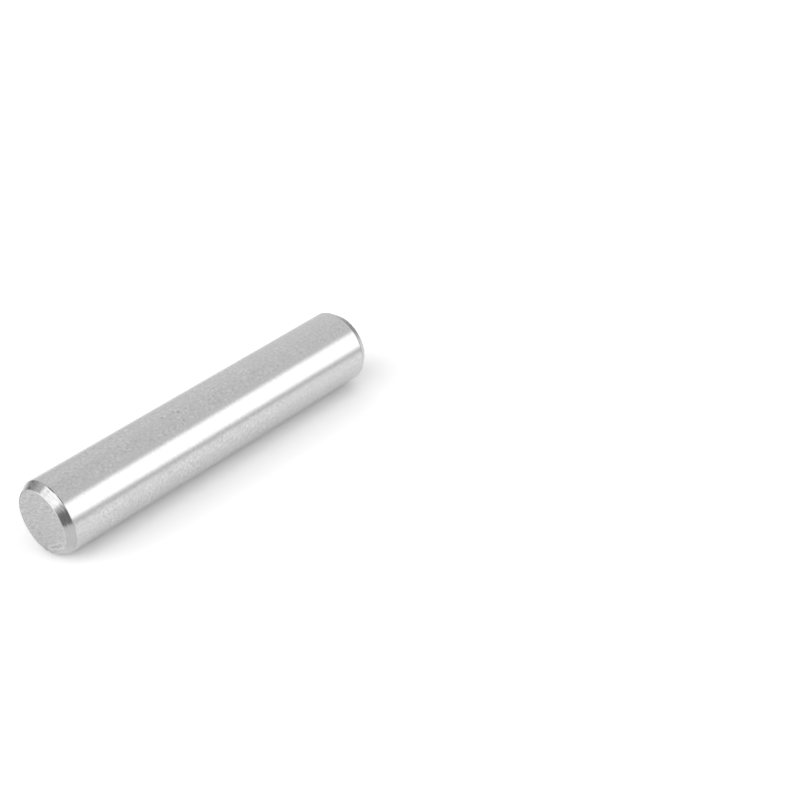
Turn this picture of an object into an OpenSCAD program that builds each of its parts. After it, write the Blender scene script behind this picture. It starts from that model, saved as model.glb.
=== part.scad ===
// Dowel pin: a plain cylindrical pin, turned and centreless-ground from one piece of steel bar.
// The pin stands on its lower end face. The origin is that face's centre, and +Z is the pin's axis.
// All sizes are in millimetres.

/* [Pin] */
// Diameter of the ground shank
shank_d = 5; // [3:0.5:12]
// Length over both end faces
pin_l = 26; // [12:1:60]

/* [Chamfers] */
// Length of each turned chamfer, along the axis
chamfer_l = 0.55; // [0.3:0.05:1.4]
// Depth of each turned chamfer, from the shank towards the axis
chamfer_depth = 0.36; // [0.2:0.02:0.9]

/* [Broken edges] */
// Radius of the edge where the shank meets a chamfer
shoulder_r = 0.14; // [0.04:0.02:0.3]
// Radius of the edge where a chamfer meets its end face
rim_r = 0.1; // [0.02:0.02:0.2]

/* [Hidden] */

// Bright ground steel
steel = [0.62, 0.62, 0.62];

// Straight steps in each rounded edge, and sides of the circle where it is drawn as a mesh
edge_steps = 5;
$fn = 128;

shank_r = shank_d / 2;
face_r = shank_r - chamfer_depth;

// Slope of the lower chamfer's line above the end face, in degrees
slope = atan2(chamfer_l, chamfer_depth);

// How far each rounded edge reaches along the two lines that it joins
shoulder_reach = shoulder_r * tan((90 - slope) / 2);
rim_reach = rim_r * tan(slope / 2);

// Points of a round of radius r, from one direction to another, in degrees
function arc(centre, r, from, to) =
    [for (i = [0:edge_steps])
        let (angle = from + (to - from) * i / edge_steps)
        centre + r * [cos(angle), sin(angle)]];

// Half outline of the lower end, from its face out to the shank: [distance from the axis, height].
// Both rounds are tangent to their lines, so an outward normal turns from straight down, past the
// chamfer's own, to straight out.
end_outline = concat(
    [[0, 0]],
    arc([face_r - rim_reach, rim_r], rim_r, -90, slope - 90),
    arc([shank_r - shoulder_r, chamfer_l + shoulder_reach], shoulder_r, slope - 90, 0)
);

// The upper end is the lower one turned over
function turned_over(outline) =
    [for (i = [len(outline) - 1:-1:0]) [outline[i].x, pin_l - outline[i].y]];

module dowel_pin() {
    color(steel)
        rotate_extrude()
            polygon(concat(end_outline, turned_over(end_outline)));
}

dowel_pin();
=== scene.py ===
"""A ground steel dowel pin, finished for close viewing and lit as it lies on a white table.

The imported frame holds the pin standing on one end, with +Z along its axis. The picture shows it
lying, so the table, the studio and the camera are turned to it, and the pin itself never moves:
the table is a plane that touches the shank along one line. Everything here is in metres.
"""

import logging
import math
from dataclasses import dataclass
from enum import IntEnum
from typing import Any

import bpy
import numpy as np
from mathutils import Matrix, Vector


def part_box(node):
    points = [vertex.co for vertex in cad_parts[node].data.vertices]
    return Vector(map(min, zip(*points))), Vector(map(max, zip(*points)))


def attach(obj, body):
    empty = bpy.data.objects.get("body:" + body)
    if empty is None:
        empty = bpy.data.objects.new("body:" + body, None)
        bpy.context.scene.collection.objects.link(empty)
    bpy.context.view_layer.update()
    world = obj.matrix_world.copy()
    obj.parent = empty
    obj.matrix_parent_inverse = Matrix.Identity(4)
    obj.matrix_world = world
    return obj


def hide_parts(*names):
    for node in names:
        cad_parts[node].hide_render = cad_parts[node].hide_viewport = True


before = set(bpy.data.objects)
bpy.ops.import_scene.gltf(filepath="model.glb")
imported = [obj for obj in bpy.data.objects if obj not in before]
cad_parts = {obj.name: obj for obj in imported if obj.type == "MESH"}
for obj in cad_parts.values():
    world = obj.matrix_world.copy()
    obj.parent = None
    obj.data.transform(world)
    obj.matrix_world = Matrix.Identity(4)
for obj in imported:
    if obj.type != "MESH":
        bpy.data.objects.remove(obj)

MM = 0.001
NODE = "dowel_pin"
Numbers = np.ndarray
# Middle of Blender's noise, which runs from 0 to 1
EVEN = 0.5
# Angle from the pin's uppermost line to the middle of the nick, towards the camera, in degrees
NICK_TURN = 141
# Rotation that turns the blur of a brushed surface from round the pin to along it, in whole turns
ALONG_AXIS = 0.25

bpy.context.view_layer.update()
log = logging.getLogger("dowel_pin")


class Wire:
    """A shader socket that Python's operators work on; each operation adds one Math node."""

    def __init__(self, graph: "Graph", socket: bpy.types.NodeSocket) -> None:
        """Wrap one socket.

        Args:
            graph: The graph that new Math nodes go into.
            socket: The output socket that holds the value.
        """
        self.graph = graph
        self.socket = socket

    def __add__(self, other: "Scalar") -> "Wire":
        """Sum of two values."""
        return self.graph.math("ADD", self, other)

    def __sub__(self, other: "Scalar") -> "Wire":
        """This value less another."""
        return self.graph.math("SUBTRACT", self, other)

    def __rsub__(self, other: "Scalar") -> "Wire":
        """A number less this value."""
        return self.graph.math("SUBTRACT", other, self)

    def __mul__(self, other: "Scalar") -> "Wire":
        """Product of two values."""
        return self.graph.math("MULTIPLY", self, other)

    def __truediv__(self, other: "Scalar") -> "Wire":
        """This value over another."""
        return self.graph.math("DIVIDE", self, other)

    def __abs__(self) -> "Wire":
        """Size of the value, without its sign."""
        return self.graph.math("ABSOLUTE", self)

    __radd__ = __add__
    __rmul__ = __mul__


Scalar = float | Wire


class Graph:
    """A node tree that is written as expressions."""

    def __init__(self, tree: bpy.types.NodeTree) -> None:
        """Empty a tree and take it over.

        Args:
            tree: The node tree of a material or of the world.
        """
        self.tree = tree
        tree.nodes.clear()

    def add(self, kind: str, settings: dict[str, Any] | None = None,
            inputs: dict[str | int, Any] | None = None) -> bpy.types.Node:
        """Add one node of any type.

        Args:
            kind: The node's type, as Blender names it.
            settings: The node's own settings, set before its sockets.
            inputs: Values, wires or sockets, by input name or number.

        Returns:
            The new node.
        """
        node = self.tree.nodes.new(kind)
        for name, value in (settings or {}).items():
            setattr(node, name, value)
        for name, value in (inputs or {}).items():
            source = value.socket if isinstance(value, Wire) else value
            if isinstance(source, bpy.types.NodeSocket):
                self.tree.links.new(source, node.inputs[name])
            else:
                node.inputs[name].default_value = source
        return node

    def math(self, operation: str, *values: Scalar, clamp: bool = False) -> Wire:
        """Add a Math node.

        Args:
            operation: The operation, as Blender names it.
            *values: One to three numbers or wires.
            clamp: Whether the result is held between 0 and 1.

        Returns:
            The result.
        """
        settings = {"operation": operation, "use_clamp": clamp}
        node = self.add("ShaderNodeMath", settings, dict(enumerate(values)))
        return Wire(self, node.outputs[0])

    def dot(self, vector: Wire, axis: Vector) -> Wire:
        """Component of a vector wire along a fixed axis."""
        node = self.add("ShaderNodeVectorMath", {"operation": "DOT_PRODUCT"},
                        {0: vector, 1: tuple(axis)})
        return Wire(self, node.outputs["Value"])

    def stretch(self, vector: Wire, factors: tuple[float, float, float]) -> Wire:
        """Vector wire with each component multiplied by its own factor."""
        node = self.add("ShaderNodeVectorMath", {"operation": "MULTIPLY"}, {0: vector, 1: factors})
        return Wire(self, node.outputs["Vector"])

    def reach(self, vector: Wire, centre: Vector) -> Wire:
        """Distance of a vector wire from a fixed point."""
        node = self.add("ShaderNodeVectorMath", {"operation": "DISTANCE"},
                        {0: vector, 1: tuple(centre)})
        return Wire(self, node.outputs["Value"])

    def smooth(self, value: Scalar, low: float, high: float) -> Wire:
        """Smooth step from 0 at low to 1 at high; high may be the smaller one."""
        node = self.add("ShaderNodeMapRange", {"interpolation_type": "SMOOTHSTEP"},
                        {"Value": value, "From Min": low, "From Max": high})
        return Wire(self, node.outputs["Result"])

    def noise(self, vector: Wire, scale: float = 1.0, detail: float = 2.0,
              roughness: float = 0.5) -> Wire:
        """Fractal noise around 0.5.

        Args:
            vector: Where the noise is read.
            scale: Grains per unit of the vector.
            detail: Octaves of finer grain.
            roughness: Weight of each octave against the one before it.

        Returns:
            The noise value, from 0 to 1.
        """
        node = self.add("ShaderNodeTexNoise", {"noise_dimensions": "3D"},
                        {"Vector": vector, "Scale": scale, "Detail": detail,
                         "Roughness": roughness})
        return Wire(self, node.outputs["Fac"])

    def grey(self, value: Scalar) -> Wire:
        """Neutral colour of one brightness."""
        node = self.add("ShaderNodeCombineColor", None, {0: value, 1: value, 2: value})
        return Wire(self, node.outputs["Color"])

    def blend(self, start: Scalar, end: Scalar, share: Scalar) -> Wire:
        """Value that goes from start to end as share goes from 0 to 1."""
        return start + (end - start) * share


class Zone(IntEnum):
    """Parts of the pin's skin, each with its own finish; the value is the material index."""

    SHANK = 0
    CHAMFER = 1
    RIM = 2
    FACE = 3


@dataclass(frozen=True)
class Outline:
    """Half outline of the pin, from the middle of its upper face to the middle of its lower one.

    Attributes:
        radius: Distance of each point from the axis.
        height: Height of each point.
        zone: Zone of the band between each point and the next one.
    """

    radius: Numbers
    height: Numbers
    zone: Numbers


@dataclass(frozen=True)
class PinForm:
    """Form of the pin, from the frame's box and the sizes of its turned ends.

    Attributes:
        shank_r: Radius of the ground shank.
        length: Length over both end faces.
        chamfer_l: Length of a chamfer along the axis.
        chamfer_depth: Depth of a chamfer, from the shank towards the axis.
        shoulder_r: Radius of the edge between shank and chamfer.
        rim_r: Radius of the edge between chamfer and end face.
        sides: Faces round the pin.
        face_steps: Steps from the middle of an end face to its rim.
        edge_steps: Steps in each rounded edge.
        chamfer_rings: Rings on a chamfer, between its two rounded edges.
        shank_steps: Steps along the shank.
    """

    shank_r: float
    length: float
    chamfer_l: float = 0.55 * MM
    chamfer_depth: float = 0.36 * MM
    shoulder_r: float = 0.14 * MM
    rim_r: float = 0.1 * MM
    sides: int = 256
    face_steps: int = 48
    edge_steps: int = 8
    chamfer_rings: int = 10
    shank_steps: int = 40

    @classmethod
    def from_frame(cls) -> "PinForm":
        """Take the shank's radius and the length from the CAD node's box."""
        low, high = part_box(NODE)
        return cls(shank_r=(high.x - low.x) / 2, length=high.z - low.z)

    @staticmethod
    def arc(centre: tuple[float, float], radius: float, start: float, end: float,
            steps: int) -> Numbers:
        """Points of a round: the centre plus the radius times the cosine and sine of each angle."""
        angle = np.linspace(start, end, steps + 1)
        return np.column_stack([centre[0] + radius * np.cos(angle),
                                centre[1] + radius * np.sin(angle)])

    def upper_end(self) -> tuple[Numbers, Numbers]:
        """Outline of the upper end, from the middle of its face to the top of the shank.

        Both rounds are tangent to their lines. The outward normal turns from straight up at the
        face, past the chamfer's own, to straight out at the shank.

        Returns:
            Points as rows of distance from the axis and height, and the zone after each point.
        """
        slope = math.atan2(self.chamfer_l, self.chamfer_depth)
        quarter = math.pi / 2
        shoulder_reach = self.shoulder_r * math.tan((quarter - slope) / 2)
        rim_reach = self.rim_r * math.tan(slope / 2)
        face_r = self.shank_r - self.chamfer_depth - rim_reach
        rim = self.arc((face_r, self.length - self.rim_r), self.rim_r,
                       quarter, quarter - slope, self.edge_steps)
        shoulder = self.arc(
            (self.shank_r - self.shoulder_r, self.length - self.chamfer_l - shoulder_reach),
            self.shoulder_r, quarter - slope, 0.0, self.edge_steps)
        face = np.column_stack([np.linspace(0, face_r, self.face_steps, endpoint=False),
                                np.full(self.face_steps, self.length)])
        share = np.linspace(0, 1, self.chamfer_rings + 2)[1:-1, None]
        chamfer = rim[-1] + (shoulder[0] - rim[-1]) * share
        points = np.vstack([face, rim, chamfer, shoulder])
        zone = np.full(len(points), Zone.CHAMFER)
        zone[:len(face)] = Zone.FACE
        zone[len(face):len(face) + self.edge_steps] = Zone.RIM
        zone[-1] = Zone.SHANK
        return points, zone

    def outline(self) -> Outline:
        """Whole half outline: the upper end, the shank, and the upper end turned over."""
        upper, zone = self.upper_end()
        top = upper[-1, 1]
        share = np.linspace(0, 1, self.shank_steps + 1)[1:-1, None]
        # Rings crowd towards both ends, so that the long bands shade as flat as they are
        eased = (1 - np.cos(math.pi * share)) / 2
        shank = np.hstack([np.full_like(eased, self.shank_r),
                           top + (self.length - 2 * top) * eased])
        lower = upper[::-1] * [1, -1] + [0, self.length]
        points = np.vstack([upper, shank, lower])
        shank_zone = np.full(len(shank), Zone.SHANK)
        zones = np.concatenate([zone, shank_zone, zone[-2::-1], [Zone.FACE]])
        return Outline(points[:, 0], points[:, 1], zones)


@dataclass(frozen=True)
class Nick:
    """A shallow leaf-shaped scrape near the border of the upper end face.

    Attributes:
        azimuth: Direction of its middle from the axis.
        offset: Distance of its middle from the axis.
        lean: Angle of the scrape from the border's own direction.
        half_length: Half its length.
        half_width: Distance from its middle line at which it is a third as deep.
        flare: How much wider than that it is at one end, and narrower at the other, as a share.
        bow: How far its ends lie further in than its middle.
        depth: Depth of its middle.
        mark: Name of the attribute that tells the finish how deep each point is cut.
    """

    azimuth: float
    offset: float = 1.72 * MM
    lean: float = math.radians(-4)
    half_length: float = 1.0 * MM
    half_width: float = 0.12 * MM
    flare: float = 0.5
    bow: float = 0.08 * MM
    depth: float = 0.02 * MM
    mark: str = "nick"

    def share(self, x: Numbers, y: Numbers) -> Numbers:
        """Depth of the scrape at points of the face, as a share of the deepest.

        It is the deepest at its middle and fades as one minus the fourth power of the share of its
        half length along it, and as the exponential of minus the square of the share of its half
        width across it. Its middle line bows as the square of the share along it.

        Args:
            x: First coordinate of the points.
            y: Second coordinate of the points.

        Returns:
            The share at each point, from 0 to 1.
        """
        outward = np.array([math.cos(self.azimuth), math.sin(self.azimuth)])
        turn = self.azimuth + math.pi / 2 + self.lean
        along = np.array([math.cos(turn), math.sin(turn)])
        dx, dy = x - outward[0] * self.offset, y - outward[1] * self.offset
        share = (dx * along[0] + dy * along[1]) / self.half_length
        across = dx * along[1] - dy * along[0] + self.bow * share ** 2
        fade = np.clip(1 - share ** 4, 0, None)
        width = self.half_width * (1 + self.flare * np.clip(share, -1, 1))
        return fade * np.exp(-(across / width) ** 2)


@dataclass
class Pin:
    """The pin's own piece: its skin as a surface of revolution, one finish for each zone.

    Attributes:
        form: Sizes of the pin.
        finishes: Finish of each zone.
        nick: The scrape in the upper end face.
        name: Name of the piece.
    """

    form: PinForm
    finishes: dict[Zone, "Finish"]
    nick: Nick
    name: str = "ground_pin"

    def vertices(self, outline: Outline) -> tuple[Numbers, Numbers]:
        """Points of the skin.

        The point at angle a on ring i is (r cos a, r sin a, h), with r and h from the outline.
        The two points on the axis are single ones, so both poles are closed. The nick lowers the
        points of the upper face.

        Args:
            outline: The half outline, both of whose ends are on the axis.

        Returns:
            The points as rows: the upper pole, the rings from the top down, the lower pole. Then
            how deep the nick is at each, as a share of its deepest.
        """
        angle = np.linspace(0, 2 * math.pi, self.form.sides, endpoint=False)
        radius, height = outline.radius[1:-1, None], outline.height[1:-1, None]
        rings = np.stack(np.broadcast_arrays(
            radius * np.cos(angle), radius * np.sin(angle), height), axis=-1)
        poles = [[0, 0, outline.height[0]], [0, 0, outline.height[-1]]]
        points = np.vstack([poles[:1], rings.reshape(-1, 3), poles[1:]])
        on_face = points[:, 2] == self.form.length
        cut = np.where(on_face, self.nick.share(points[:, 0], points[:, 1]), 0)
        points[:, 2] -= self.nick.depth * cut
        return points, cut

    def faces(self, outline: Outline) -> tuple[Numbers, Numbers, Numbers, Numbers]:
        """Faces of the skin, pointing outwards.

        Args:
            outline: The half outline.

        Returns:
            The upper fan's triangles, the quads, the lower fan's triangles, and each face's zone.
        """
        sides, rings = self.form.sides, len(outline.radius) - 2
        here = np.arange(sides)
        after = (here + 1) % sides
        top = 1 + sides * np.arange(rings - 1)[:, None]
        quads = np.stack([top + here, top + sides + here, top + sides + after, top + after], -1)
        last = 1 + sides * (rings - 1)
        upper = np.column_stack([np.zeros(sides, int), 1 + here, 1 + after])
        lower = np.column_stack([np.full(sides, last + sides), last + after, last + here])
        zone = np.concatenate([np.full(sides, outline.zone[0]),
                               np.repeat(outline.zone[1:-2], sides),
                               np.full(sides, outline.zone[-1])])
        return upper, quads.reshape(-1, 4), lower, zone

    def build(self) -> bpy.types.Object:
        """Make the piece, dress it and put it in place of the CAD node."""
        outline = self.form.outline()
        upper, quads, lower, zone = self.faces(outline)
        mesh = bpy.data.meshes.new(self.name)
        points, cut = self.vertices(outline)
        mesh.from_pydata(points.tolist(), [], upper.tolist() + quads.tolist() + lower.tolist())
        mark = mesh.attributes.new(self.nick.mark, "FLOAT", "POINT")
        mark.data.foreach_set("value", cut.astype(np.float32))
        for part in Zone:
            mesh.materials.append(self.finishes[part].material())
        mesh.polygons.foreach_set("material_index", zone.astype(np.int32))
        mesh.polygons.foreach_set("use_smooth", np.ones(len(zone), bool))
        mesh.validate()
        mesh.update()
        piece = bpy.data.objects.new(self.name, mesh)
        bpy.context.scene.collection.objects.link(piece)
        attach(piece, "root")
        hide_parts(NODE)
        log.info("%s: %d faces", self.name, len(mesh.polygons))
        return piece


class Finish:
    """A surface finish; each kind says how its own steel looks.

    Attributes:
        title: Name of the material.
    """

    title: str

    def shade(self, graph: Graph) -> dict[str, Any]:
        """Inputs of the steel's shader."""
        raise NotImplementedError

    def material(self) -> bpy.types.Material:
        """Make the finish's material."""
        material = bpy.data.materials.new(self.title)
        material.use_nodes = True
        graph = Graph(material.node_tree)
        shader = graph.add("ShaderNodeBsdfPrincipled", None, {"Metallic": 1.0, **self.shade(graph)})
        graph.add("ShaderNodeOutputMaterial", None, {"Surface": shader.outputs[0]})
        return material


def object_point(graph: Graph) -> Wire:
    """Position on the piece, in metres in the row frame."""
    return Wire(graph, graph.add("ShaderNodeTexCoord").outputs["Object"])


def bump(graph: Graph, height: Wire, depth: float) -> Wire:
    """Normal of a surface whose height runs over depth metres as the wire goes from 0 to 1."""
    node = graph.add("ShaderNodeBump", None, {"Height": height, "Distance": depth})
    return Wire(graph, node.outputs["Normal"])


@dataclass(frozen=True)
class Place:
    """How the pin lies: its form, and the line along it that lies uppermost.

    Attributes:
        form: Sizes of the pin.
        uppermost: Azimuth of that line in the row frame.
    """

    form: PinForm
    uppermost: float

    def azimuth(self, turn: float) -> float:
        """Azimuth in the row frame of an angle in degrees from the uppermost line to the camera."""
        return self.uppermost - math.radians(turn)

    def outward(self, turn: float) -> Vector:
        """Direction in the row frame, straight out from the axis, at such an angle."""
        return Vector((math.cos(self.azimuth(turn)), math.sin(self.azimuth(turn)), 0))


@dataclass(frozen=True)
class Side:
    """A side of the pin whose finish differs from the rest.

    Attributes:
        turn: Angle of its middle from the uppermost line, towards the camera, in degrees.
        spread: Angle from its middle to where it ends, in degrees.
        soft: Angle over which it ends, in degrees.
    """

    turn: float
    spread: float
    soft: float

    def share(self, graph: Graph, point: Wire, place: Place) -> Wire:
        """1 at points on this side, 0 on the rest of the pin, by their direction from the axis."""
        flat = graph.stretch(point, (1, 1, 0))
        out = graph.reach(flat, Vector((0, 0, 0)))
        # On the axis itself no side counts, so the distance is held over a micrometre
        cosine = graph.dot(flat, place.outward(self.turn)) / graph.math("MAXIMUM", out, 0.001 * MM)
        outer = math.cos(math.radians(self.spread + self.soft / 2))
        inner = math.cos(math.radians(self.spread - self.soft / 2))
        return graph.smooth(cosine, outer, inner)


@dataclass(frozen=True)
class Spot:
    """A tiny dark pit or stain in the shank or in the near chamfer.

    Attributes:
        turn: Angle round the pin from the line that lies uppermost, towards the camera.
        inset: Distance from the near end.
        radius: Radius of the spot.
    """

    turn: float
    inset: float
    radius: float

    def centre(self, place: Place) -> Vector:
        """Place of the spot in the row frame."""
        form = place.form
        taper = form.chamfer_depth * max(0.0, 1 - self.inset / form.chamfer_l)
        return place.outward(self.turn) * (form.shank_r - taper) \
            + Vector((0, 0, form.length - self.inset))

    @staticmethod
    def all(graph: Graph, point: Wire, spots: "tuple[Spot, ...]", place: Place) -> Wire:
        """1 in the middle of each of several spots, 0 away from them all."""
        total: Scalar = 0.0
        for spot in spots:
            # A spot is fully dark over a fifth of its radius
            mark = graph.smooth(graph.reach(point, spot.centre(place)),
                                spot.radius, spot.radius / 5)
            total = graph.math("MAXIMUM", mark, total)
        return total


@dataclass(frozen=True)
class GroundFinish(Finish):
    """Centreless-ground shank: bright, finely mottled, with faint scratches that run round the pin.

    Attributes:
        place: How the pin lies.
        title: Name of the material.
        steel: Brightness of the bare steel.
        roughness: Gloss of the ground surface, 0 as a mirror.
        grain: Size of the mottling's grains.
        mottle: How much the grains vary in brightness.
        grain_gloss: How much the grains vary in roughness.
        speck_size: Size of the grains whose peaks are specks.
        speck_peaks: Height of that noise where a speck begins, and where it is full.
        speck: How much darker a speck's middle is.
        cloud_size: Size of the clouds of stronger and weaker mottling.
        cloud_ends: Height of the clouds' noise where the mottling is weakest, and strongest.
        cloud_mottle: Strength of the mottling at those two heights.
        cloud_tone: How much the clouds vary in brightness.
        scratch_width: Width of a scratch along the axis.
        scratch_run: How far a scratch runs round the pin.
        scratch_depth: Depth of the deepest scratches.
        scratch_tone: How much the scratches vary in brightness.
        brushing: How much more the surface blurs along the axis than round the pin.
        worn: A stripe along the pin that is worn smooth.
        worn_smooth: How much of the mottling is gone there.
        coarse: The side by the table, with stronger mottling.
        coarse_more: How much stronger the mottling is there.
        lower_l: Distance from the lower end at which the mottling begins to fade.
        lower_full: Distance from the lower end at which it has faded.
        lower_smooth: How much of the mottling is gone there.
        shade_side: The side by the table, painted darker next to the upper end: painted shade for
            the shaded table that it mirrors there.
        shade_l: Distance from the upper chamfer over which that painted shade fades.
        painted_shade: How much darker the painted shade makes it at the chamfer.
        pit_dark: How much darker a pit's middle is.
        pits: The pits that stand out.
    """

    place: Place
    title: str = "ground_shank"
    steel: float = 0.60
    roughness: float = 0.16
    grain: float = 0.175 * MM
    mottle: float = 0.62
    grain_gloss: float = 0.05
    speck_size: float = 0.15 * MM
    speck_peaks: tuple[float, float] = (0.62, 0.74)
    speck: float = 0.09
    cloud_size: float = 1.7 * MM
    cloud_ends: tuple[float, float] = (0.38, 0.64)
    cloud_mottle: tuple[float, float] = (0.66, 1.16)
    cloud_tone: float = 0.08
    scratch_width: float = 0.09 * MM
    scratch_run: float = 0.9 * MM
    scratch_depth: float = 0.06e-6
    scratch_tone: float = 0.12
    brushing: float = 0.5
    worn: Side = Side(turn=53, spread=19, soft=12)
    worn_smooth: float = 0.6
    coarse: Side = Side(turn=104, spread=28, soft=16)
    coarse_more: float = 0.2
    lower_l: float = 9.5 * MM
    lower_full: float = 5.7 * MM
    lower_smooth: float = 0.4
    # Painted shade: the side by the table is painted darker next to the upper end, for the shaded
    # table that it mirrors
    shade_side: Side = Side(turn=110, spread=16, soft=14)
    shade_l: float = 1.0 * MM
    painted_shade: float = 0.10
    pit_dark: float = 0.23
    pits: tuple[Spot, ...] = (
        Spot(turn=4.9, inset=10.57 * MM, radius=0.13 * MM),
        Spot(turn=5.5, inset=10.40 * MM, radius=0.10 * MM),
        Spot(turn=5.3, inset=10.24 * MM, radius=0.11 * MM),
        Spot(turn=4.2, inset=10.10 * MM, radius=0.08 * MM),
        Spot(turn=3.4, inset=9.70 * MM, radius=0.14 * MM),
        Spot(turn=9.7, inset=10.81 * MM, radius=0.15 * MM),
        Spot(turn=25.7, inset=10.61 * MM, radius=0.14 * MM),
        Spot(turn=17.9, inset=1.96 * MM, radius=0.12 * MM),
        Spot(turn=95.2, inset=14.86 * MM, radius=0.10 * MM),
        Spot(turn=108.4, inset=19.23 * MM, radius=0.10 * MM),
    )

    def shade(self, graph: Graph) -> dict[str, Any]:
        """Inputs of the steel's shader."""
        point = object_point(graph)
        run, width = 1 / self.scratch_run, 1 / self.scratch_width
        scratches = graph.noise(graph.stretch(point, (run, run, width)), detail=2.0, roughness=0.6)
        grain = graph.noise(point, scale=1 / self.grain, detail=2.0, roughness=0.45)
        cloud = graph.noise(point, scale=1 / self.cloud_size, detail=2.0)
        dots = graph.noise(point, scale=1 / self.speck_size, detail=1.0)
        specks = graph.smooth(dots, *self.speck_peaks)
        height = graph.dot(point, Vector((0, 0, 1)))
        patchy = graph.blend(*self.cloud_mottle, graph.smooth(cloud, *self.cloud_ends)) \
            * (1 - self.worn.share(graph, point, self.place) * self.worn_smooth) \
            * (1 + self.coarse.share(graph, point, self.place) * self.coarse_more) \
            * (1 - graph.smooth(height, self.lower_l, self.lower_full) * self.lower_smooth)
        form = self.place.form
        shank_top = form.length - form.chamfer_l
        # Painted shade on the side by the table, fading out below the chamfer
        shade_side = graph.smooth(height, shank_top - self.shade_l, shank_top) \
            * self.shade_side.share(graph, point, self.place)
        texture = (grain - EVEN) * self.mottle + (scratches - EVEN) * self.scratch_tone \
            - specks * self.speck
        level = (1 + texture * patchy + (cloud - EVEN) * self.cloud_tone) \
            * (1 - shade_side * self.painted_shade) \
            * (1 - Spot.all(graph, point, self.pits, self.place) * self.pit_dark)
        return {
            "Base Color": graph.grey(level * self.steel),
            "Roughness": (grain - EVEN) * self.grain_gloss + self.roughness,
            "Anisotropic": self.brushing,
            "Anisotropic Rotation": ALONG_AXIS,
            "Normal": bump(graph, scratches, self.scratch_depth),
        }


@dataclass(frozen=True)
class TurnedFinish(Finish):
    """Turned chamfer: fine tool marks that run round the pin.

    Attributes:
        place: How the pin lies.
        title: Name of the material.
        steel: Brightness of the bare steel.
        roughness: Gloss of the turned surface.
        brushing: How much more the surface blurs along the axis than round the pin.
        mark_width: Width of a tool mark.
        mark_run: How far a mark runs round the pin.
        mark_depth: Depth of the deepest marks.
        mark_tone: How much the marks vary in brightness.
        hatch: How much the fine hatching between the marks varies in brightness.
        hatch_shorter: How many times shorter than the marks the hatching is.
        hatch_finer: How many times narrower than the marks the hatching is.
        stain_dark: How much darker a stain's middle is.
        stains: Dark stains, at both borders of the near chamfer.
        shade_side: The side of the chamfers by the table, painted darker: painted shade for the
            shaded table that it mirrors there.
        painted_shade: How much darker the painted shade makes that side.
        side_smooth: How much of the tool marks is gone there.
    """

    place: Place
    title: str = "turned_chamfer"
    steel: float = 0.50
    roughness: float = 0.12
    brushing: float = 0.5
    mark_width: float = 0.12 * MM
    mark_run: float = 1.6 * MM
    mark_depth: float = 18e-6
    mark_tone: float = 0.35
    hatch: float = 0.4
    hatch_shorter: float = 6.0
    hatch_finer: float = 1.5
    stain_dark: float = 0.5
    stains: tuple[Spot, ...] = (
        Spot(turn=-25, inset=0.10 * MM, radius=0.20 * MM),
        Spot(turn=-25, inset=0.52 * MM, radius=0.20 * MM),
    )
    # Painted shade on the side by the table, for the shaded table that the chamfer mirrors there;
    # the tool marks are fainter there too
    shade_side: Side = Side(turn=92, spread=20, soft=14)
    painted_shade: float = 0.12
    side_smooth: float = 0.6

    def shade(self, graph: Graph) -> dict[str, Any]:
        """Inputs of the steel's shader."""
        point = object_point(graph)
        run, width = 1 / self.mark_run, 1 / self.mark_width
        marks = graph.noise(graph.stretch(point, (run, run, width)), detail=2.0, roughness=0.6)
        short, narrow = self.hatch_shorter * run, self.hatch_finer * width
        fine = graph.noise(graph.stretch(point, (short, short, narrow)), detail=2.0)
        # Painted shade: darker, and with fainter marks, on the side by the table
        shade_side = self.shade_side.share(graph, point, self.place)
        kept = 1 - shade_side * self.side_smooth
        level = (1 + ((marks - EVEN) * self.mark_tone + (fine - EVEN) * self.hatch) * kept) \
            * (1 - shade_side * self.painted_shade) \
            * (1 - Spot.all(graph, point, self.stains, self.place) * self.stain_dark)
        return {
            "Base Color": graph.grey(level * self.steel),
            "Roughness": self.roughness,
            "Anisotropic": self.brushing,
            "Anisotropic Rotation": ALONG_AXIS,
            "Normal": bump(graph, (marks - EVEN) * kept, self.mark_depth),
        }


@dataclass(frozen=True)
class RimFinish(Finish):
    """Broken edge of an end face: a narrow line of rubbed steel, painted darker on two sides as
    painted shade.

    Attributes:
        place: How the pin lies.
        left: The side away from the camera and down to the table, where the rim is darkened by
            painted shade.
        right: The side next to the chamfer's bright patch, where painted shade dims the rim.
        title: Name of the material.
        rubbed: Brightness of the rubbed steel.
        left_shade_steel: Brightness of the left side, lowered as painted shade.
        right_shade_steel: Brightness of the right side, lowered as painted shade.
        roughness: Gloss of the edge.
        wear_size: Size of the patches that are worn more or less.
        wear_tone: How much the patches vary in brightness.
        wear_gloss: How much the patches vary in roughness.
    """

    place: Place
    left: Side
    right: Side = Side(turn=37, spread=31, soft=16)
    title: str = "rubbed_rim"
    rubbed: float = 0.52
    # Painted shade on the rim's two sides
    left_shade_steel: float = 0.26
    right_shade_steel: float = 0.42
    roughness: float = 0.26
    wear_size: float = 0.35 * MM
    wear_tone: float = 0.5
    wear_gloss: float = 0.2

    def shade(self, graph: Graph) -> dict[str, Any]:
        """Inputs of the steel's shader."""
        point = object_point(graph)
        wear = graph.noise(point, scale=1 / self.wear_size, detail=2.0)
        # Painted shade: the rim is darker down to the table and next to the chamfer's bright patch
        steel = graph.blend(self.rubbed, self.left_shade_steel, self.left.share(graph, point, self.place))
        steel = graph.blend(steel, self.right_shade_steel, self.right.share(graph, point, self.place))
        return {
            "Base Color": graph.grey(((wear - EVEN) * self.wear_tone + 1) * steel),
            "Roughness": (EVEN - wear) * self.wear_gloss + self.roughness,
        }


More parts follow.
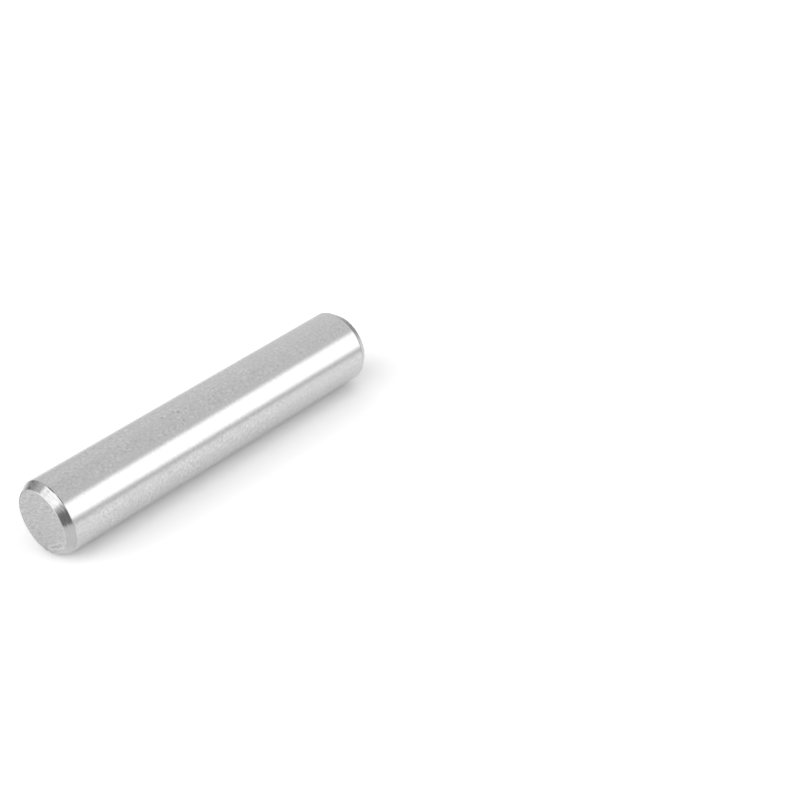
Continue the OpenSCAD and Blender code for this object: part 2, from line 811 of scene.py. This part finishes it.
@dataclass(frozen=True)
class CutFinish(Finish):
    """Cut and lapped end face: matt, with fine straight lines.

    Attributes:
        place: How the pin lies.
        left: Side on which the face is darkened by painted shade next to its border.
        nick: Name of the attribute that says how deep the nick is, from 0 to 1.
        title: Name of the material.
        steel: Brightness of the bare steel.
        roughness: Gloss of the face.
        line_turn: Direction of the lines, as an angle from +X.
        line_width: Width of a line.
        line_run: Length of a line.
        line_depth: Depth of the deepest lines.
        line_tone: How much the lines vary in brightness.
        wander: How far the lines stray to either side.
        wander_run: Distance over which they stray.
        grain: Size of the grains between the lines.
        grain_tone: How much the grains vary in brightness.
        nick_floor: Depth of cut where the nick's floor begins, and where it is full.
        nick_shade: How much darker the nick's floor is painted, as painted shade in the recess.
        nick_lip: Depth of cut where a lip of the nick begins, is full and ends.
        lip_highlight: How much brighter the nick's lips are painted, as a painted highlight along
            its edges.
        border: Width of the line of painted shade along the border.
        border_shade: How much darker the painted shade makes it at the border.
    """

    place: Place
    left: Side
    nick: str
    title: str = "cut_face"
    steel: float = 0.47
    roughness: float = 0.36
    line_turn: float = math.radians(72)
    line_width: float = 0.12 * MM
    line_run: float = 0.55 * MM
    line_depth: float = 3e-6
    line_tone: float = 0.9
    wander: float = 0.3 * MM
    wander_run: float = 0.8 * MM
    grain: float = 0.13 * MM
    grain_tone: float = 0.6
    nick_floor: tuple[float, float] = (0.5, 0.9)
    # Painted shade in the nick's floor and a painted highlight on its lips
    nick_shade: float = 0.14
    nick_lip: tuple[float, float, float] = (0.02, 0.2, 0.6)
    lip_highlight: float = 0.24
    border: float = 0.12 * MM
    border_shade: float = 0.3

    def shade(self, graph: Graph) -> dict[str, Any]:
        """Inputs of the steel's shader."""
        point = object_point(graph)
        along = Vector((math.cos(self.line_turn), math.sin(self.line_turn), 0))
        across = Vector((-along.y, along.x, 0))
        drift = graph.noise(point, scale=1 / self.wander_run, detail=1.0) - EVEN
        stray = drift * (2 * self.wander)
        ruled = graph.add("ShaderNodeCombineXYZ", None,
                          {0: graph.dot(point, along) / self.line_run,
                           1: (graph.dot(point, across) + stray) / self.line_width})
        lines = graph.noise(Wire(graph, ruled.outputs[0]), detail=2.0, roughness=0.6)
        grain = graph.noise(point, scale=1 / self.grain, detail=2.0, roughness=0.6)
        cut = Wire(graph, graph.add("ShaderNodeAttribute",
                                    {"attribute_name": self.nick}).outputs["Fac"])
        # The floor of the nick is painted darker, as painted shade in the recess, and the shallow
        # lips at both its sides are painted brighter, as a painted highlight
        start, full, end = self.nick_lip
        lips = graph.smooth(cut, start, full) * graph.smooth(cut, end, full)
        floor = graph.smooth(cut, *self.nick_floor)
        form = self.place.form
        face_r = form.shank_r - form.chamfer_depth
        out = graph.reach(graph.stretch(point, (1, 1, 0)), Vector((0, 0, 0)))
        # Painted shade: a dark line along the face's border on the side away from the camera and
        # down to the table
        edge = graph.smooth(out, face_r - self.border, face_r) \
            * self.left.share(graph, point, self.place)
        level = 1 + (lines - EVEN) * self.line_tone + (grain - EVEN) * self.grain_tone \
            - edge * self.border_shade - floor * self.nick_shade + lips * self.lip_highlight
        return {
            "Base Color": graph.grey(level * self.steel),
            "Roughness": self.roughness,
            "Normal": bump(graph, lines, self.line_depth),
        }


@dataclass(frozen=True)
class Bench:
    """Where the pin lies on the white table.

    Bench coordinates start at the foot of the camera on the table: x to the right, y away from the
    camera, z up. The row frame keeps the pin on its end, so the bench is turned to it.

    Attributes:
        form: Sizes of the pin.
        near_x: Middle of the near end, to the right of the camera's foot.
        near_y: Middle of the near end, ahead of the camera's foot.
        turn: Direction of the pin from its near end, as an angle from the picture's horizontal.
        table_facing: Azimuth in the row frame that the table's upper side faces.
    """

    form: PinForm
    near_x: float = -21.29 * MM
    near_y: float = 82.32 * MM
    turn: float = math.radians(48.29)
    table_facing: float = math.radians(45)

    def facing(self) -> Vector:
        """Direction in the row frame that the table's upper side faces."""
        return Vector((math.sin(self.table_facing), -math.cos(self.table_facing), 0))

    def aside(self) -> Vector:
        """Direction in the row frame that lies on the table, across the pin."""
        return self.facing().cross(Vector((0, 0, 1)))

    def axes(self) -> Matrix:
        """Rotation from bench coordinates to the row frame.

        The pin's own direction goes to -Z, because its near end is the upper one in the row frame,
        and the table's upward direction goes to the azimuth that it faces.
        """
        along = Vector((math.cos(self.turn), math.sin(self.turn), 0))
        aside = Vector((math.sin(self.turn), -math.cos(self.turn), 0))
        upright = Vector((0, 0, 1))
        row = Matrix((-upright, self.aside(), self.facing())).transposed()
        return row @ Matrix((along, aside, upright))

    def to_row(self) -> Matrix:
        """Whole transform from bench coordinates to the row frame."""
        turn = self.axes()
        along = Vector((math.cos(self.turn), math.sin(self.turn), 0))
        far = Vector((self.near_x, self.near_y, self.form.shank_r)) + along * self.form.length
        return Matrix.Translation(-(turn @ far)) @ turn.to_4x4()


@dataclass(frozen=True)
class Camera:
    """The camera at the picture's place.

    Attributes:
        lens: Focal length on a 36 mm sensor, in millimetres.
        height: Height above the table.
        pitch: How far it looks down.
        clip: Nearest and farthest distance that it sees.
    """

    lens: float = 80.0
    height: float = 69.15 * MM
    pitch: float = math.radians(35.07)
    clip: tuple[float, float] = (1 * MM, 10.0)

    def build(self, bench: Bench) -> bpy.types.Object:
        """Put the camera over the bench.

        Args:
            bench: The bench that the camera stands at.

        Returns:
            The camera.
        """
        data = bpy.data.cameras.new("camera")
        data.lens = self.lens
        data.clip_start, data.clip_end = self.clip
        camera = bpy.data.objects.new("camera", data)
        bpy.context.scene.collection.objects.link(camera)
        level = Matrix.Rotation(math.pi / 2 - self.pitch, 4, "X")
        place = Matrix.Translation((0, 0, self.height)) @ level
        camera.matrix_world = bench.to_row() @ place
        bpy.context.scene.camera = camera
        return camera


@dataclass(frozen=True)
class Table:
    """White table top, seen from above only.

    The picture's white goes on for ever, but the steel shows that the lit part of the table is
    small: in reflections it fades into the tent at a short way from the pin.

    Attributes:
        reach: Half the side of the table.
        white: Colour of the table top where it sheds light on its surroundings.
        shown: Colour of the table top as the camera sees it, and in the steel that it sees.
        pool: Distance from the pin over which reflections of the table fade.
    """

    reach: float = 2.0
    white: float = 0.75
    shown: float = 1.21
    pool: float = 22 * MM

    def build(self, bench: Bench) -> bpy.types.Object:
        """Lay the table under the pin.

        Args:
            bench: The bench whose plane the table is.

        Returns:
            The table top.
        """
        far = self.reach
        corners = np.array([[-far, -far, 0], [far, -far, 0], [far, far, 0], [-far, far, 0]])
        place = np.array(bench.to_row())
        mesh = bpy.data.meshes.new("table")
        mesh.from_pydata((corners @ place[:3, :3].T + place[:3, 3]).tolist(), [], [(0, 1, 2, 3)])
        mesh.materials.append(self.material(bench))
        table = bpy.data.objects.new("table", mesh)
        bpy.context.scene.collection.objects.link(table)
        return table

    def material(self, bench: Bench) -> bpy.types.Material:
        """White from above, and clear from below, so that it never hides the pin.

        A ray that came through the table from below finds it clear from above too, so that the pin
        isn't dark where it faces the table. The distance from the pin is that from a segment: the
        part along the pin counts only past its ends. The reflections fade as the exponential of
        minus the square of that distance.

        Args:
            bench: The bench whose plane the table is.

        Returns:
            The material.
        """
        material = bpy.data.materials.new("white_table")
        material.use_nodes = True
        graph = Graph(material.node_tree)
        point = object_point(graph)
        half = bench.form.length / 2
        path = graph.add("ShaderNodeLightPath")
        seen = Wire(graph, path.outputs["Is Camera Ray"])
        # Depths are whole numbers, so a half tells none from one or more
        mirrored = graph.math("LESS_THAN", Wire(graph, path.outputs["Diffuse Depth"]), 0.5) \
            * Wire(graph, path.outputs["Is Glossy Ray"])
        shown = graph.math("MAXIMUM", seen, mirrored)
        aside = graph.dot(point, bench.aside())
        past = graph.math("MAXIMUM", abs(graph.dot(point, Vector((0, 0, 1))) - half) - half, 0.0)
        distance = (aside * aside + past * past) / self.pool ** 2
        lit = graph.math("MAXIMUM", seen, graph.math("EXPONENT", 0 - distance))
        back = Wire(graph, graph.add("ShaderNodeNewGeometry").outputs["Backfacing"])
        passed = graph.math("GREATER_THAN", Wire(graph, path.outputs["Transparent Depth"]), 0.5)
        below = graph.math("MAXIMUM", back, passed)
        top = graph.add("ShaderNodeBsdfDiffuse", None,
                        {"Color": graph.grey(graph.blend(self.white, self.shown, shown))})
        clear = graph.add("ShaderNodeBsdfTransparent")
        either = graph.add("ShaderNodeMixShader", None,
                           {0: lit * (1 - below), 1: clear.outputs[0], 2: top.outputs[0]})
        graph.add("ShaderNodeOutputMaterial", None, {"Surface": either.outputs[0]})
        return material


@dataclass(frozen=True)
class Card:
    """A flat lamp, reflector or flag of the studio, far enough off to be only a direction.

    Attributes:
        azimuth: Direction of its middle, in degrees from straight ahead, towards the right.
        elevation: Height of its middle over the table, in degrees.
        half_width: Half its width, in degrees as seen from the pin.
        half_height: Half its height, in degrees.
        soft: How far its edge fades, in degrees.
        level: Brightness, where white paper is 1.
        roll: How far it is turned in its plane, with its right side down, in degrees.
    """

    azimuth: float
    elevation: float
    half_width: float
    half_height: float
    soft: float
    level: float
    roll: float = 0.0

    def mask(self, graph: Graph, direction: Wire, bench_axes: Matrix) -> Wire:
        """How much of the card a direction meets.

        The direction is projected on the card's plane, by dividing its parts across the card by
        its part towards the card, and each part is faded at the card's edges.

        Args:
            graph: The world's graph.
            direction: Direction in the row frame.
            bench_axes: Rotation from bench coordinates to the row frame.

        Returns:
            1 on the card, 0 off it.
        """
        azimuth, elevation = math.radians(self.azimuth), math.radians(self.elevation)
        towards = Vector((math.sin(azimuth) * math.cos(elevation),
                          math.cos(azimuth) * math.cos(elevation), math.sin(elevation)))
        right = Vector((math.cos(azimuth), -math.sin(azimuth), 0))
        up = right.cross(towards)
        turn = Matrix.Rotation(math.radians(self.roll), 3, towards)
        right, up = turn @ right, turn @ up
        # Behind the card's plane there is nothing, and close to it the card has faded
        ahead = graph.math("MAXIMUM", graph.dot(direction, bench_axes @ towards), 0.001)
        result = graph.smooth(ahead, 0.0, 0.1)
        for axis, half in ((right, self.half_width), (up, self.half_height)):
            inner = math.tan(math.radians(half - self.soft / 2))
            outer = math.tan(math.radians(half + self.soft / 2))
            offset = abs(graph.dot(direction, bench_axes @ axis) / ahead)
            result = result * graph.smooth(offset, outer, inner)
        return result


@dataclass(frozen=True)
class Studio:
    """A grey-white light tent with a lamp on each side.

    Attributes:
        tent: Brightness of the tent's cloth, where white paper is 1.
        cards: Lamps, reflectors and flags, each over the ones before it.
    """

    tent: float = 0.79
    cards: tuple[Card, ...] = (
        # Cloth that the top of the shank mirrors
        Card(azimuth=38, elevation=56, half_width=44, half_height=22, soft=16, level=0.82),
        Card(azimuth=28, elevation=22, half_width=42, half_height=28, soft=22, level=0.88),
        # Flag that darkens the far chamfer and its shoulder
        Card(azimuth=42, elevation=8, half_width=36, half_height=24, soft=10, level=0.36),
        # Lamp of the bright line along the shank
        Card(azimuth=100, elevation=26, half_width=29, half_height=20, soft=14, level=1.78,
             roll=-14),
        # Lit cloth and flag in the near shoulder, on its right
        Card(azimuth=131, elevation=42, half_width=13, half_height=13, soft=8, level=1.10),
        Card(azimuth=150, elevation=66, half_width=22, half_height=11, soft=10, level=0.16),
        # Flag of the near chamfer's dark patch
        Card(azimuth=173, elevation=12, half_width=22, half_height=17.5, soft=14, level=0.28),
        # Lamp of the near chamfer's bright patch
        Card(azimuth=-128.6, elevation=54, half_width=29, half_height=19, soft=14, level=1.84),
        # Lit cloth and flag in the near shoulder, at its top
        Card(azimuth=-86, elevation=62, half_width=12, half_height=9, soft=8, level=1.40),
        Card(azimuth=-50, elevation=75, half_width=20, half_height=14, soft=12, level=0.28),
        # Flag of the near chamfer's left
        Card(azimuth=-58, elevation=8, half_width=18, half_height=18, soft=20, level=0.50),
        # Low lamp of the near rim's bright line
        Card(azimuth=-120, elevation=14, half_width=28, half_height=18, soft=8, level=2.90),
    )

    def build(self, bench: Bench) -> None:
        """Make the world: the tent for light and reflections, plain white for the camera.

        Args:
            bench: The bench that the studio is built round.
        """
        world = bpy.data.worlds.new("studio")
        world.use_nodes = True
        bpy.context.scene.world = world
        graph = Graph(world.node_tree)
        direction = Wire(graph, graph.add("ShaderNodeTexCoord").outputs["Generated"])
        level: Scalar = self.tent
        for card in self.cards:
            level = graph.blend(level, card.level, card.mask(graph, direction, bench.axes()))
        tent = graph.add("ShaderNodeBackground", None, {"Color": graph.grey(level)})
        white = graph.add("ShaderNodeBackground", None, {"Color": (1, 1, 1, 1)})
        seen = graph.add("ShaderNodeLightPath").outputs["Is Camera Ray"]
        either = graph.add("ShaderNodeMixShader", None,
                           {0: seen, 1: tent.outputs[0], 2: white.outputs[0]})
        graph.add("ShaderNodeOutputWorld", None, {"Surface": either.outputs[0]})


def main() -> None:
    """Build the pin and its surroundings, and report each piece."""
    logging.basicConfig(level=logging.INFO, format="%(name)s: %(message)s")
    bpy.context.scene.view_settings.view_transform = "Standard"
    form = PinForm.from_frame()
    bench = Bench(form)
    Camera().build(bench)
    place = Place(form, uppermost=bench.table_facing - math.pi / 2)
    nick = Nick(azimuth=place.azimuth(NICK_TURN))
    # Away from the camera and down to the table, where a rim and its face's border are darkened by
    # painted shade
    left = Side(turn=240, spread=78, soft=24)
    finishes = {Zone.SHANK: GroundFinish(place), Zone.CHAMFER: TurnedFinish(place),
                Zone.RIM: RimFinish(place, left), Zone.FACE: CutFinish(place, left, nick.mark)}
    pin = Pin(form, finishes, nick).build()
    table = Table().build(bench)
    Studio().build(bench)
    for piece in (pin, table):
        log.info("%s is in place", piece.name)


if __name__ == "__main__":
    main()
